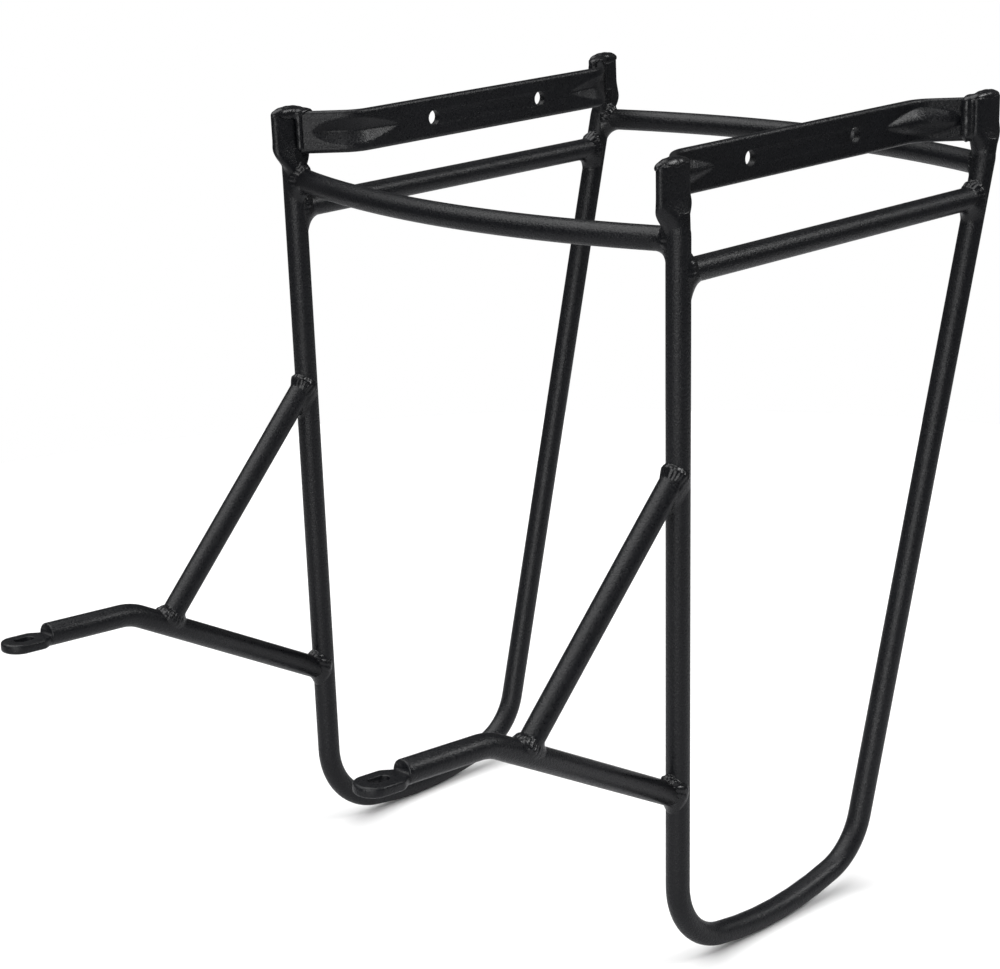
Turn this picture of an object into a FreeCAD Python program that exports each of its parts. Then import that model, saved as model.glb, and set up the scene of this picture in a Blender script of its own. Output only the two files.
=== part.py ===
import FreeCAD, Part
import math
import os
import Sketcher

# A welded rack frame of round tube. Two side frames stand parallel to the YZ plane and two bowed
# tubes tie them together at the top. Lengths are in millimetres and angles in degrees.
#
# Frame of the part: +X to the right, +Y to the rear, +Z up, origin at the middle of the bottom.
# Each side frame has a plane of its own. Places in it are given as (y, z), measured from the point
# where the front leg's axis crosses the level of the plates' bolts, so z is negative below it.
# A heading in that plane is an angle from +Y towards +Z: 90 is up, 180 is forward.

V = FreeCAD.Vector

SIZES = [
    # alias, value, meaning
    ("tube_radius", 6.0, "outside radius of every round tube"),
    ("bolt_level", 396.6, "height of the plates' bolt holes above the lowest point"),
    ("front_leg_y", -30.6, "front leg axis at bolt level"),
    ("half_width", 136.76, "leg axis to the middle plane at bolt level"),
    ("side_lean", 0.8, "lean of each side frame, top outwards"),
    ("front_rake", 0.344, "lean of the front legs, foot forwards"),
    ("shoulder_depth", 15.5, "where a leg's round tube ends, below bolt level"),
    ("front_straight", 333.9, "front leg, shoulder to bend"),
    ("front_bend_radius", 38.2, "bend at the foot of the front leg"),
    ("front_bend_turn", 79.9, "its turn"),
    ("bottom_radius", 205.5, "the shallow curve of the bottom run"),
    ("bottom_turn", 25.2, "its turn"),
    ("rear_bend_radius", 34.3, "bend at the foot of the rear leg"),
    ("rear_bend_turn", 59.75, "its turn"),
    ("rear_straight", 357.3, "rear leg, bend to shoulder"),
    ("shoulder_length", 6.5, "round tube to flattened end"),
    ("flat_length", 19.5, "flattened end of a leg"),
    ("flat_breadth", 21.2, "its breadth, fore and aft"),
    ("flat_thickness", 6.2, "its thickness, across"),
    ("flat_inboard", 0.9, "its middle is inboard of the leg axis"),
    ("flat_forward", 2.5, "a front leg's is this far forward of it, too"),
    ("rear_flat_y", 238.7, "middle of a rear leg's upright flattened end"),
    ("rail_drop", 40.0, "side rail axis below bolt level"),
    ("rail_length", 232.0, "side rail, leg axis to leg axis"),
    ("front_arc_drop", 25.0, "front cross arc axis below bolt level"),
    ("front_arc_radius", 390.4, "its radius in plan"),
    ("front_arc_half_turn", 20.45, "half the angle it spans"),
    ("front_arc_end_y", 4.4, "its ends behind the front leg axis"),
    ("rear_arc_drop", 24.3, "rear cross arc axis below bolt level"),
    ("rear_arc_radius", 396.4, "its radius in plan"),
    ("rear_arc_half_turn", 20.13, "half the angle it spans"),
    ("rear_arc_end_y", 237.95, "its ends behind the front leg axis"),
    ("strut_drop", 301.5, "where a strut leaves the front leg"),
    ("strut_rise", 28.15, "how steeply it climbs forwards"),
    ("strut_inner", 137.2, "strut, leg axis to bend"),
    ("strut_bend_radius", 32.0, "its bend"),
    ("strut_bend_turn", 24.6, "the turn to its nearly level run"),
    ("strut_outer", 45.7, "strut, bend to flattened eyelet"),
    ("tab_taper", 3.5, "round tube to flattened eyelet"),
    ("tab_length", 13.5, "strut's round end to the centre of the slot"),
    ("tab_breadth", 17.4, "breadth of the eyelet"),
    ("tab_thickness", 5.0, "thickness of the eyelet"),
    ("tab_drop", 2.0, "its middle is below the strut's axis"),
    ("tip_reach", 3.5, "centre of the slot to the centre of the rounded tip"),
    ("slot_width", 6.0, "the eyelet's slot"),
    ("slot_length", 11.0, "end to end, fore and aft"),
    ("brace_drop", 134.6, "where a brace leaves the front leg"),
    ("brace_fall", 46.2, "how steeply it falls forwards"),
    ("brace_length", 153.3, "leg axis to strut axis"),
    ("plate_inboard", 25.2, "plate's middle to the leg axis"),
    ("plate_height", 22.6, "height of a plate"),
    ("plate_thickness", 4.0, "thickness of a plate"),
    ("jog_turn", 45.0, "turn of a plate's end towards the leg"),
    ("jog_radius", 7.0, "radius of that turn"),
    ("jog_run", 27.0, "straight run of the turned end"),
    ("plate_front_y", 3.1, "front end of a plate"),
    ("plate_run", 181.8, "straight middle of a plate"),
    ("bolt_front_y", 78.2, "front bolt hole"),
    ("bolt_spacing", 81.1, "from it to the rear bolt hole"),
    ("bolt_radius", 4.0, "radius of a bolt hole"),
    ("bead", 3.2, "reach of a weld bead from the tube faces"),
    ("bead_start", 1.2, "a bead starts this far out from the main tube's axis"),
    ("cap_rise", 4.2, "height of the weld cap on a leg's flattened end"),
    ("cap_half_breadth", 11.6, "half its breadth, fore and aft"),
    ("cap_half_width", 3.9, "half its width, across"),
    ("cap_inboard", 0.5, "its middle is inboard of the flattened end"),
    ("corner_bead_radius", 2.6, "upright bead between a plate's outer face and the flattened end"),
    ("corner_bead_inboard", 3.6, "inboard of the flattened end's middle"),
    ("corner_bead_along", 11.5, "along the plate from there"),
    ("lap_bead_radius", 2.2, "upright bead over the plate's end"),
    ("lap_bead_inboard", 4.0, "inboard of the flattened end's middle"),
    ("lap_bead_along", 4.1, "along the plate from there"),
    ("bridge_rise", 2.4, "half height of the bead that joins them over the plate's top edge"),
    ("bridge_half_width", 3.6, "half its width"),
    ("bridge_half_length", 6.4, "half its length along the plate"),
    ("bridge_along", 7.4, "its middle, along the plate from the flattened end's middle"),
]

SIDES = (("left", -1), ("right", 1))

doc = FreeCAD.newDocument("rack_frame")
sheet = doc.addObject("Spreadsheet::Sheet", "size")


def fill_sheet():
    for row, (alias, value, meaning) in enumerate(SIZES, start=1):
        sheet.set(f"A{row}", meaning)
        sheet.set(f"B{row}", str(value))
        sheet.setAlias(f"B{row}", alias)
    doc.recompute()


def size(alias):
    return float(sheet.get(alias))


def bind(obj, **sizes):
    """Bind properties of an object to expressions of the sheet."""
    for prop, expression in sizes.items():
        obj.setExpression(prop, expression)


# ---------------------------------------------------------------- places

def side_place(side, y, z, heading):
    """Placement in a side frame: local Z runs along the heading, local YZ is the frame's plane."""
    top = V(side * size("half_width"), size("front_leg_y"), size("bolt_level"))
    plane = FreeCAD.Placement(top, FreeCAD.Rotation(V(0, 1, 0), side * size("side_lean")))
    return plane * FreeCAD.Placement(V(0, y, z), FreeCAD.Rotation(V(1, 0, 0), heading - 90))


def front_leg_y_at(drop):
    return -drop * math.tan(math.radians(size("front_rake")))


def front_flat_y():
    """The middle of a front leg's flattened end, in the side frame."""
    return front_leg_y_at(size("shoulder_depth")) - size("flat_forward")


def step(y, z, heading, distance):
    """The point a distance away along a heading."""
    angle = math.radians(heading)
    return y + distance * math.cos(angle), z + distance * math.sin(angle)


def walk(y, z, heading, segments):
    """Follow a chain of tangent runs and bends. Gives the geometry and the place where it ends."""
    shapes = []
    for kind, length_alias, turn_alias, sign in segments:
        if kind == "run":
            end = step(y, z, heading, size(length_alias))
            shapes.append(Part.LineSegment(V(y, z, 0), V(*end, 0)))
            y, z = end
            continue
        radius = size(length_alias)
        turn = size(turn_alias)
        centre = step(y, z, heading + sign * 90, radius)
        first = math.radians(heading - sign * 90)
        last = first + sign * math.radians(turn)
        circle = Part.Circle(V(*centre, 0), V(0, 0, 1), radius)
        shapes.append(Part.ArcOfCircle(circle, min(first, last), max(first, last)))
        heading += sign * turn
        y, z = step(*centre, heading - sign * 90, radius)
    return shapes, (y, z, heading)


def run(length_alias):
    return ("run", length_alias, None, 1)


def bend(radius_alias, turn_alias, sign=1):
    """A bend to the left of the heading, or to the right when the sign is -1."""
    return ("bend", radius_alias, turn_alias, sign)


# ---------------------------------------------------------------- sketches

def new_body(name):
    return doc.addObject("PartDesign::Body", name)


def new_sketch(body, name, role):
    """A sketch on one of the body's own origin planes."""
    sketch = body.newObject("Sketcher::SketchObject", f"{body.Name}_{name}")
    plane = next(f for f in body.Origin.OriginFeatures if f.Role == role)
    sketch.AttachmentSupport = [(plane, "")]
    sketch.MapMode = "FlatFace"
    return sketch


def driven(sketch, expression, *constraint):
    """A constraint whose value follows an expression of the sheet."""
    index = sketch.addConstraint(Sketcher.Constraint(*constraint))
    sketch.setExpression(f"Constraints[{index}]", expression)


def path_sketch(body, segments):
    """The tube's centre line in the body's YZ plane, from the origin, heading +Z."""
    sketch = new_sketch(body, "path", "YZ_Plane")
    shapes, _ = walk(0, 0, 90, segments)
    sketch.addGeometry(shapes, False)
    sketch.addConstraint(Sketcher.Constraint("Coincident", 0, 1, -1, 1))
    sketch.addConstraint(Sketcher.Constraint("Vertical", 0))
    last_end = None
    for index, (kind, length_alias, turn_alias, sign) in enumerate(segments):
        start, end = (1, 2) if sign > 0 else (2, 1)
        if last_end is not None:
            sketch.addConstraint(Sketcher.Constraint("Tangent", index - 1, last_end, index, start))
        if kind == "run":
            driven(sketch, f"size.{length_alias}", "Distance", index, size(length_alias))
        else:
            driven(sketch, f"size.{length_alias}", "Radius", index, size(length_alias))
            turn = math.radians(size(turn_alias))
            driven(sketch, f"size.{turn_alias} * 1 deg", "Angle", index, turn)
        last_end = end
    return sketch


def circle_sketch(body):
    sketch = new_sketch(body, "round", "XY_Plane")
    sketch.addGeometry(Part.Circle(V(0, 0, 0), V(0, 0, 1), size("tube_radius")), False)
    sketch.addConstraint(Sketcher.Constraint("Coincident", 0, 3, -1, 1))
    driven(sketch, "size.tube_radius", "Radius", 0, size("tube_radius"))
    return sketch


def quartered_circle(sketch, turn):
    """A circle of the tube in four arcs, so that a loft joins it to a flattened section."""
    radius = size("tube_radius")
    corners = [math.radians(turn - 45 + 90 * k) for k in range(4)]
    circle = Part.Circle(V(0, 0, 0), V(0, 0, 1), radius)
    arcs = [Part.ArcOfCircle(circle, corner, corner + math.pi / 2) for corner in corners]
    sketch.addGeometry(arcs, False)


def stadium(sketch, x, y, length, breadth, along_y=True):
    """A flattened tube's section: two flats joined by half rounds, centred on (x, y)."""
    half_round = breadth / 2
    half_flat = length / 2 - half_round

    def point(along, across):
        return V(x - across, y + along, 0) if along_y else V(x + along, y + across, 0)

    def wall(start, middle, end):
        return Part.Arc(point(*start), point(*middle), point(*end))

    reach = half_flat + half_round
    sketch.addGeometry([
        Part.LineSegment(point(-half_flat, -half_round), point(half_flat, -half_round)),
        wall((half_flat, -half_round), (reach, 0), (half_flat, half_round)),
        Part.LineSegment(point(half_flat, half_round), point(-half_flat, half_round)),
        wall((-half_flat, half_round), (-reach, 0), (-half_flat, -half_round)),
    ], False)


def lift(sketch, expression):
    """Raise a sketch along its plane's normal."""
    sketch.setExpression("AttachmentOffset.Base.z", expression)


# ---------------------------------------------------------------- tubes

def bent_tube(name, segments, place):
    """A round tube along a chain of runs and bends."""
    body = new_body(name)
    path = path_sketch(body, segments)
    section = circle_sketch(body)
    doc.recompute()
    pipe = body.newObject("PartDesign::AdditivePipe", f"{name}_tube")
    pipe.Profile = section
    pipe.Spine = path
    body.Placement = place
    doc.recompute()
    check_pipe_volume(body, path)
    return body


def check_pipe_volume(body, path):
    """A sweep's volume is its section times its length, or the sweep is wrong."""
    expected = math.pi * size("tube_radius") ** 2 * path.Shape.Length
    if abs(body.Shape.Volume / expected - 1) > 0.001:
        raise ValueError(f"{body.Label}: volume {body.Shape.Volume:.1f}, expected {expected:.1f}")


def straight_tube(name, length_alias, place):
    tube = doc.addObject("Part::Cylinder", name)
    bind(tube, Radius="size.tube_radius", Height=f"size.{length_alias}")
    tube.Placement = place
    return tube


def arc_tube(name, radius_alias, half_turn_alias, drop_alias, end_y_alias, sign):
    """A level bowed tube whose ends lie in the leg axes. sign -1 bows it forwards, 1 to the rear."""
    tube = doc.addObject("Part::Torus", name)
    bind(tube, Radius1=f"size.{radius_alias}", Radius2="size.tube_radius",
         Angle3=f"2 * size.{half_turn_alias}")
    half_turn = size(half_turn_alias)
    chord_to_centre = size(radius_alias) * math.cos(math.radians(half_turn))
    centre_y = size("front_leg_y") + size(end_y_alias) - sign * chord_to_centre
    centre = V(0, centre_y, size("bolt_level") - size(drop_alias))
    tube.Placement = FreeCAD.Placement(centre, FreeCAD.Rotation(V(0, 0, 1), sign * 90 - half_turn))
    return tube


def leg_top(name, side, place, leg_tilt, flat_y):
    """A leg's upright flattened end, from its round tube up. The round end lies square to the leg."""
    body = new_body(name)
    circle = new_sketch(body, "round", "XY_Plane")
    quartered_circle(circle, 0)
    circle.AttachmentOffset = FreeCAD.Placement(V(0, 0, 0), FreeCAD.Rotation(V(1, 0, 0), leg_tilt))
    x = -side * size("flat_inboard")
    flat = new_sketch(body, "flat", "XY_Plane")
    stadium(flat, x, flat_y, size("flat_breadth"), size("flat_thickness"))
    lift(flat, "size.shoulder_length")
    doc.recompute()
    shoulder = body.newObject("PartDesign::AdditiveLoft", f"{name}_shoulder")
    shoulder.Profile = circle
    shoulder.Sections = [flat]
    top = new_sketch(body, "top", "XY_Plane")
    stadium(top, x, flat_y, size("flat_breadth"), size("flat_thickness"))
    lift(top, "size.shoulder_length")
    block = body.newObject("PartDesign::Pad", f"{name}_block")
    block.Profile = top
    bind(block, Length="size.flat_length")
    body.Placement = place
    return body


def fuse(name, pieces):
    joined = doc.addObject("Part::MultiFuse", name)
    joined.Shapes = pieces
    return joined


def cut(name, base, tools):
    """The base less every tool."""
    tool = tools[0]
    if len(tools) > 1:
        tool = fuse(f"{name}_tools", tools)
    result = doc.addObject("Part::Cut", name)
    result.Base = base
    result.Tool = tool
    return result


LOOP = [
    run("front_straight"),
    bend("front_bend_radius", "front_bend_turn"),
    bend("bottom_radius", "bottom_turn"),
    bend("rear_bend_radius", "rear_bend_turn"),
    run("rear_straight"),
]

STRUT = [run("strut_inner"), bend("strut_bend_radius", "strut_bend_turn"), run("strut_outer")]


def side_loop(word, side):
    """Front leg, curved bottom run and rear leg in one tube, with both ends flattened."""
    down = 270 - size("front_rake")
    y = front_leg_y_at(size("shoulder_depth"))
    z = -size("shoulder_depth")
    tube = bent_tube(f"{word}_loop_tube", LOOP, side_place(side, y, z, down))
    front_place = side_place(side, y, z, 90)
    front = leg_top(f"{word}_front_top", side, front_place, -size("front_rake"), front_flat_y() - y)
    _, (rear_y, rear_z, rear_up) = walk(y, z, down, LOOP)
    rear_place = side_place(side, rear_y, rear_z, 90)
    rear_flat_y = size("rear_flat_y") - rear_y
    rear = leg_top(f"{word}_rear_top", side, rear_place, rear_up - 90, rear_flat_y)
    return fuse(f"{word}_side_loop", [tube, front, rear])


def eyelet(name, place):
    """A strut's flattened end: a level tab with a round tip and a slot."""
    body = new_body(name)
    circle = new_sketch(body, "round", "XY_Plane")
    quartered_circle(circle, -90)
    flat = new_sketch(body, "flat", "XY_Plane")
    stadium(flat, 0, -size("tab_drop"), size("tab_breadth"), size("tab_thickness"), along_y=False)
    lift(flat, "size.tab_taper")
    doc.recompute()
    taper = body.newObject("PartDesign::AdditiveLoft", f"{name}_taper")
    taper.Profile = circle
    taper.Sections = [flat]
    outline = new_sketch(body, "outline", "XZ_Plane")
    half = size("tab_breadth") / 2
    start = size("tab_taper")
    centre = size("tab_length")
    tip = centre + size("tip_reach")
    outline.addGeometry([
        Part.LineSegment(V(-half, start, 0), V(half, start, 0)),
        Part.LineSegment(V(half, start, 0), V(half, tip, 0)),
        Part.Arc(V(half, tip, 0), V(0, tip + half, 0), V(-half, tip, 0)),
        Part.LineSegment(V(-half, tip, 0), V(-half, start, 0)),
    ], False)
    lift(outline, "size.tab_drop")
    tab = body.newObject("PartDesign::Pad", f"{name}_tab")
    tab.Profile = outline
    tab.Midplane = True
    bind(tab, Length="size.tab_thickness")
    doc.recompute()
    solid_volume = body.Shape.Volume
    slot = new_sketch(body, "slot", "XZ_Plane")
    stadium(slot, 0, centre, size("slot_length"), size("slot_width"))
    opening = body.newObject("PartDesign::Pocket", f"{name}_slot")
    opening.Profile = slot
    opening.Midplane = True
    bind(opening, Length="2 * size.tab_thickness")
    doc.recompute()
    if body.Shape.Volume > solid_volume - 50:
        raise ValueError(f"{name}: the slot cut nothing")
    body.Placement = place
    return body


def lower_strut(word, side, loop):
    """The tube from the front leg forwards to its eyelet."""
    drop = size("strut_drop")
    heading = 180 - size("strut_rise")
    y = front_leg_y_at(drop)
    tube = bent_tube(f"{word}_strut_tube", STRUT, side_place(side, y, -drop, heading))
    _, (end_y, end_z, end_heading) = walk(y, -drop, heading, STRUT)
    tip = eyelet(f"{word}_eyelet", side_place(side, end_y, end_z, end_heading))
    return cut(f"{word}_lower_strut", fuse(f"{word}_strut_blank", [tube, tip]), [loop])


def side_rail(word, side, loop):
    drop = size("rail_drop")
    place = side_place(side, front_leg_y_at(drop), -drop, 0)
    blank = straight_tube(f"{word}_rail_blank", "rail_length", place)
    return cut(f"{word}_side_rail", blank, [loop])


def brace(word, side, loop, strut):
    drop = size("brace_drop")
    place = side_place(side, front_leg_y_at(drop), -drop, 180 + size("brace_fall"))
    blank = straight_tube(f"{word}_brace_blank", "brace_length", place)
    return cut(f"{word}_brace", blank, [loop, strut])


# ---------------------------------------------------------------- plates

def plan_place(side, inboard, y, heading):
    """Placement at bolt level: local Z runs along the heading, local YZ is level, local X is up."""
    corner = V(side * (size("half_width") - inboard), size("front_leg_y") + y, size("bolt_level"))
    upright = FreeCAD.Rotation(V(1, 1, 1), -120)
    return FreeCAD.Placement(corner, FreeCAD.Rotation(V(0, 0, 1), heading) * upright)


def top_plate(word, side, loop):
    """A flattened tube with two bolt holes, its ends turned out to the leg tops."""
    name = f"{word}_top_plate"
    body = new_body(f"{name}_strip")
    segments = [
        run("jog_run"),
        bend("jog_radius", "jog_turn", -side),
        run("plate_run"),
        bend("jog_radius", "jog_turn", -side),
        run("jog_run"),
    ]
    path = path_sketch(body, segments)
    section = new_sketch(body, "section", "XY_Plane")
    stadium(section, 0, 0, size("plate_height"), size("plate_thickness"), along_y=False)
    doc.recompute()
    strip = body.newObject("PartDesign::AdditivePipe", f"{name}_pipe")
    strip.Profile = section
    strip.Spine = path
    turned = math.radians(size("jog_turn"))
    reach = size("jog_run") * math.sin(turned) + size("jog_radius") * (1 - math.cos(turned))
    start = size("plate_inboard") - reach
    body.Placement = plan_place(side, start, size("plate_front_y"), side * size("jog_turn"))
    holes = [bolt_hole(name, side, place) for place in ("front", "rear")]
    return cut(name, body, holes + [loop])


def bolt_hole(name, side, place):
    hole = doc.addObject("Part::Cylinder", f"{name}_{place}_hole")
    bind(hole, Radius="size.bolt_radius", Height="4 * size.plate_thickness")
    y = size("front_leg_y") + size("bolt_front_y")
    if place == "rear":
        y += size("bolt_spacing")
    x = side * (size("half_width") - size("plate_inboard")) - 2 * size("plate_thickness")
    hole.Placement = FreeCAD.Placement(V(x, y, size("bolt_level")), FreeCAD.Rotation(V(0, 1, 0), 90))
    return hole


# ---------------------------------------------------------------- welds

def collar(name, main_place, branch_place, tubes):
    """The bead around a branch tube where it meets a main tube."""
    main = doc.addObject("Part::Cylinder", f"{name}_main")
    bind(main, Radius="size.tube_radius + size.bead", Height="10 * size.tube_radius")
    back = FreeCAD.Placement(V(0, 0, -5 * size("tube_radius")), FreeCAD.Rotation())
    main.Placement = main_place * back
    branch = doc.addObject("Part::Cylinder", f"{name}_branch")
    bind(branch, Radius="size.tube_radius + size.bead", Height="5 * size.tube_radius")
    outwards = FreeCAD.Placement(V(0, 0, size("bead_start")), FreeCAD.Rotation())
    branch.Placement = branch_place * outwards
    ring = doc.addObject("Part::MultiCommon", f"{name}_ring")
    ring.Shapes = [main, branch]
    return cut(name, ring, tubes)


def arc_weld(name, side, loop, arc, drop_alias, half_turn_alias, end_y_alias, leg_heading, sign):
    """The bead where a cross arc meets a leg."""
    y = size(end_y_alias)
    drop = size(drop_alias)
    leg_y = front_leg_y_at(drop) if sign < 0 else rear_leg_y_at(drop)
    main = side_place(side, leg_y, -drop, leg_heading)
    x = side * size("half_width")
    corner = V(x, size("front_leg_y") + y, size("bolt_level") - drop)
    inward = V(-side, sign * math.tan(math.radians(size(half_turn_alias))), 0)
    branch = FreeCAD.Placement(corner, FreeCAD.Rotation(V(0, 0, 1), inward))
    return collar(name, main, branch, [loop, arc])


def rear_leg_y_at(drop):
    """The rear leg's axis at a level, in the side frame."""
    y = front_leg_y_at(size("shoulder_depth"))
    start = (y, -size("shoulder_depth"), 270 - size("front_rake"))
    _, (end_y, end_z, heading) = walk(*start, LOOP)
    return end_y + (-drop - end_z) / math.tan(math.radians(heading))


def rear_leg_heading():
    turns = size("front_bend_turn") + size("bottom_turn") + size("rear_bend_turn")
    return turns - 90 - size("front_rake")


def plate_weld(name, side, flat_y, towards_plate, tubes):
    """The weld cap over a leg's flattened end, and the beads on both faces of the plate's end."""
    top = size("shoulder_length") + size("flat_length")
    inboard = -side * size("flat_inboard")
    middle = side_place(side, flat_y, -size("shoulder_depth"), 90)

    def placed(inboard_from_middle, along, height):
        offset = V(inboard - side * inboard_from_middle, towards_plate * along, height)
        return middle * FreeCAD.Placement(offset, FreeCAD.Rotation())

    cap = doc.addObject("Part::Ellipsoid", f"{name}_cap")
    bind(cap, Radius1="size.cap_rise", Radius2="size.cap_half_width", Radius3="size.cap_half_breadth")
    cap.Placement = placed(size("cap_inboard"), 0, top)
    bridge = doc.addObject("Part::Ellipsoid", f"{name}_bridge")
    bind(bridge, Radius1="size.bridge_rise", Radius2="size.bridge_half_width",
         Radius3="size.bridge_half_length")
    bridge.Placement = placed(size("corner_bead_inboard"), size("bridge_along"), top)
    beads = [cap, bridge]
    for bead in ("corner_bead", "lap_bead"):
        upright = doc.addObject("Part::Cylinder", f"{name}_{bead}")
        bind(upright, Radius=f"size.{bead}_radius", Height="size.flat_length")
        upright.Placement = placed(size(f"{bead}_inboard"), size(f"{bead}_along"), size("shoulder_length"))
        beads.append(upright)
    return cut(name, fuse(f"{name}_beads", beads), tubes)


# ---------------------------------------------------------------- assembly

def build_side(word, side, arcs):
    """Every node of one side frame, with its welds."""
    loop = side_loop(word, side)
    rail = side_rail(word, side, loop)
    strut = lower_strut(word, side, loop)
    stay = brace(word, side, loop, strut)
    plate = top_plate(word, side, loop)

    up = 90 - size("front_rake")
    rear_up = rear_leg_heading()
    front_y = front_leg_y_at
    nodes = [loop, rail, strut, stay, plate]

    front_arc_weld = arc_weld(
        f"{word}_front_arc_weld", side, loop, arcs["front"],
        "front_arc_drop", "front_arc_half_turn", "front_arc_end_y", up, -1)
    rear_arc_weld = arc_weld(
        f"{word}_rear_arc_weld", side, loop, arcs["rear"],
        "rear_arc_drop", "rear_arc_half_turn", "rear_arc_end_y", rear_up, 1)
    nodes += [front_arc_weld, rear_arc_weld]

    # The rail's beads were laid over the edge of the arcs' beads.
    rail_drop = size("rail_drop")
    nodes.append(collar(
        f"{word}_front_rail_weld",
        side_place(side, front_y(rail_drop), -rail_drop, up),
        side_place(side, front_y(rail_drop), -rail_drop, 0),
        [loop, rail, front_arc_weld]))
    nodes.append(collar(
        f"{word}_rear_rail_weld",
        side_place(side, rear_leg_y_at(rail_drop), -rail_drop, rear_up),
        side_place(side, rear_leg_y_at(rail_drop), -rail_drop, 180),
        [loop, rail, rear_arc_weld]))

    strut_drop = size("strut_drop")
    strut_heading = 180 - size("strut_rise")
    nodes.append(collar(
        f"{word}_strut_weld",
        side_place(side, front_y(strut_drop), -strut_drop, up),
        side_place(side, front_y(strut_drop), -strut_drop, strut_heading),
        [loop, strut]))

    brace_drop = size("brace_drop")
    brace_heading = 180 + size("brace_fall")
    foot = step(front_y(brace_drop), -brace_drop, brace_heading, size("brace_length"))
    nodes.append(collar(
        f"{word}_brace_top_weld",
        side_place(side, front_y(brace_drop), -brace_drop, up),
        side_place(side, front_y(brace_drop), -brace_drop, brace_heading),
        [loop, stay]))
    nodes.append(collar(
        f"{word}_brace_foot_weld",
        side_place(side, *foot, strut_heading),
        side_place(side, *foot, brace_heading - 180),
        [strut, stay]))

    tubes = [loop, plate]
    nodes.append(plate_weld(f"{word}_front_plate_weld", side, front_flat_y(), 1, tubes))
    nodes.append(plate_weld(f"{word}_rear_plate_weld", side, size("rear_flat_y"), -1, tubes))
    return loop, nodes


def write_nodes(nodes):
    """Check every object, then write one file for each node."""
    doc.recompute()
    broken = [o.Name for o in doc.Objects if "Invalid" in o.State or "Error" in o.State]
    if broken:
        raise ValueError(f"objects in error: {broken}")
    for node in nodes:
        if node.Shape.isNull() or not node.Shape.isValid():
            raise ValueError(f"{node.Label}: no valid shape")
    os.makedirs("parts", exist_ok=True)
    for node in nodes:
        node.Shape.exportStep(f"parts/{node.Label}.step")


fill_sheet()
arc_blanks = {
    "front": arc_tube("front_arc_blank", "front_arc_radius", "front_arc_half_turn",
                      "front_arc_drop", "front_arc_end_y", -1),
    "rear": arc_tube("rear_arc_blank", "rear_arc_radius", "rear_arc_half_turn",
                     "rear_arc_drop", "rear_arc_end_y", 1),
}
loops = []
all_nodes = []
for side_word, side_sign in SIDES:
    side_frame_loop, side_nodes = build_side(side_word, side_sign, arc_blanks)
    loops.append(side_frame_loop)
    all_nodes += side_nodes
for place_word, arc_blank in arc_blanks.items():
    all_nodes.append(cut(f"{place_word}_cross_arc", arc_blank, loops))
write_nodes(all_nodes)
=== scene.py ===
# %% [markdown]
# # A welded luggage rack frame in black powder coat
# The real object is a rigid frame of bent steel tube. Two side loops carry flattened plates at the
# top, bowed tubes tie the sides together, and everything is welded and then powder coated in one
# go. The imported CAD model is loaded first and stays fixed; Blender adds what a drawing leaves out,
# such as rolled shoulders, pressed dimples, rippled welds and the grain of the coat.

# %% Load the frame
import math
import random

import bmesh
import bpy
from mathutils import Matrix, Vector


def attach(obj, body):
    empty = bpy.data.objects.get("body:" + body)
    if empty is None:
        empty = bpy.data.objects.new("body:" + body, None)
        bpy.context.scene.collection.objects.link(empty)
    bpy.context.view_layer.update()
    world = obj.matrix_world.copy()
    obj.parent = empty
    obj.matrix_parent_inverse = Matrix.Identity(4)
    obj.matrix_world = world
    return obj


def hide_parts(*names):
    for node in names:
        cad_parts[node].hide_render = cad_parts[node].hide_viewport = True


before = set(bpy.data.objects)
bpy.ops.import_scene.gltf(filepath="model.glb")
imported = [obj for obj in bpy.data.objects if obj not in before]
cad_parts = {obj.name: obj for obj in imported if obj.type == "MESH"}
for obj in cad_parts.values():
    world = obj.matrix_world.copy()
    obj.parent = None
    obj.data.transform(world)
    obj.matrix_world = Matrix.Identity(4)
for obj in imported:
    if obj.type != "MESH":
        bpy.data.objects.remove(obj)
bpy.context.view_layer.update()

print("CAD nodes:", len(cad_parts))

# %% [markdown]
# ## Sizes and places
# Most sizes repeat the CAD model's, in millimetres, so that a new skin lies on its solid. The
# pressed shoulders, the plates' bends and darts, and the webs of the welds are shaped more fully
# here than in the CAD model. Places in a side frame are (y, z) from the point where the front leg's
# axis crosses the level of the bolt holes. A heading is an angle in degrees from +Y towards +Z, so
# 90 is up and 180 is forwards.

# %% Sizes and places
MM = 0.001
SIDES = (("left", -1), ("right", 1))
TUBE_RADIUS = 6.0
HALF_WIDTH = 136.76
BOLT_LEVEL = 396.6
FRONT_LEG_Y = -30.6
LEAN = math.radians(0.8)     # a side frame leans outwards at its top
RAKE = 0.344                 # degrees by which a front leg's foot is forward
SHOULDER_DEPTH = 15.5
REAR_FLAT_Y = 238.7
FRONT_FLAT_Y = -2.6


def side_point(side, x, y, z):
    """A point of a side frame in the part's own frame, x being outwards from the frame's plane."""
    across = side * (HALF_WIDTH + x * math.cos(LEAN) + z * math.sin(LEAN))
    return Vector((across, FRONT_LEG_Y + y, BOLT_LEVEL - x * math.sin(LEAN) + z * math.cos(LEAN)))


def front_leg_y(z):
    """The front leg's axis at a level."""
    return z * math.tan(math.radians(RAKE))


def step(y, z, heading, distance):
    """The place a distance further along a heading."""
    angle = math.radians(heading)
    return y + distance * math.cos(angle), z + distance * math.sin(angle)


print("half width and bolt level:", HALF_WIDTH, BOLT_LEVEL)

# %% [markdown]
# ## The tubes' paths
# A bent tube is a list of runs, as it is for the bending machine: a number is a straight length,
# and a pair is a bend, with its radius and its turn in degrees. Walking the list gives stations
# that are exact on every bend, which a drawn curve would only come near to.

# %% The tubes' paths


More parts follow.
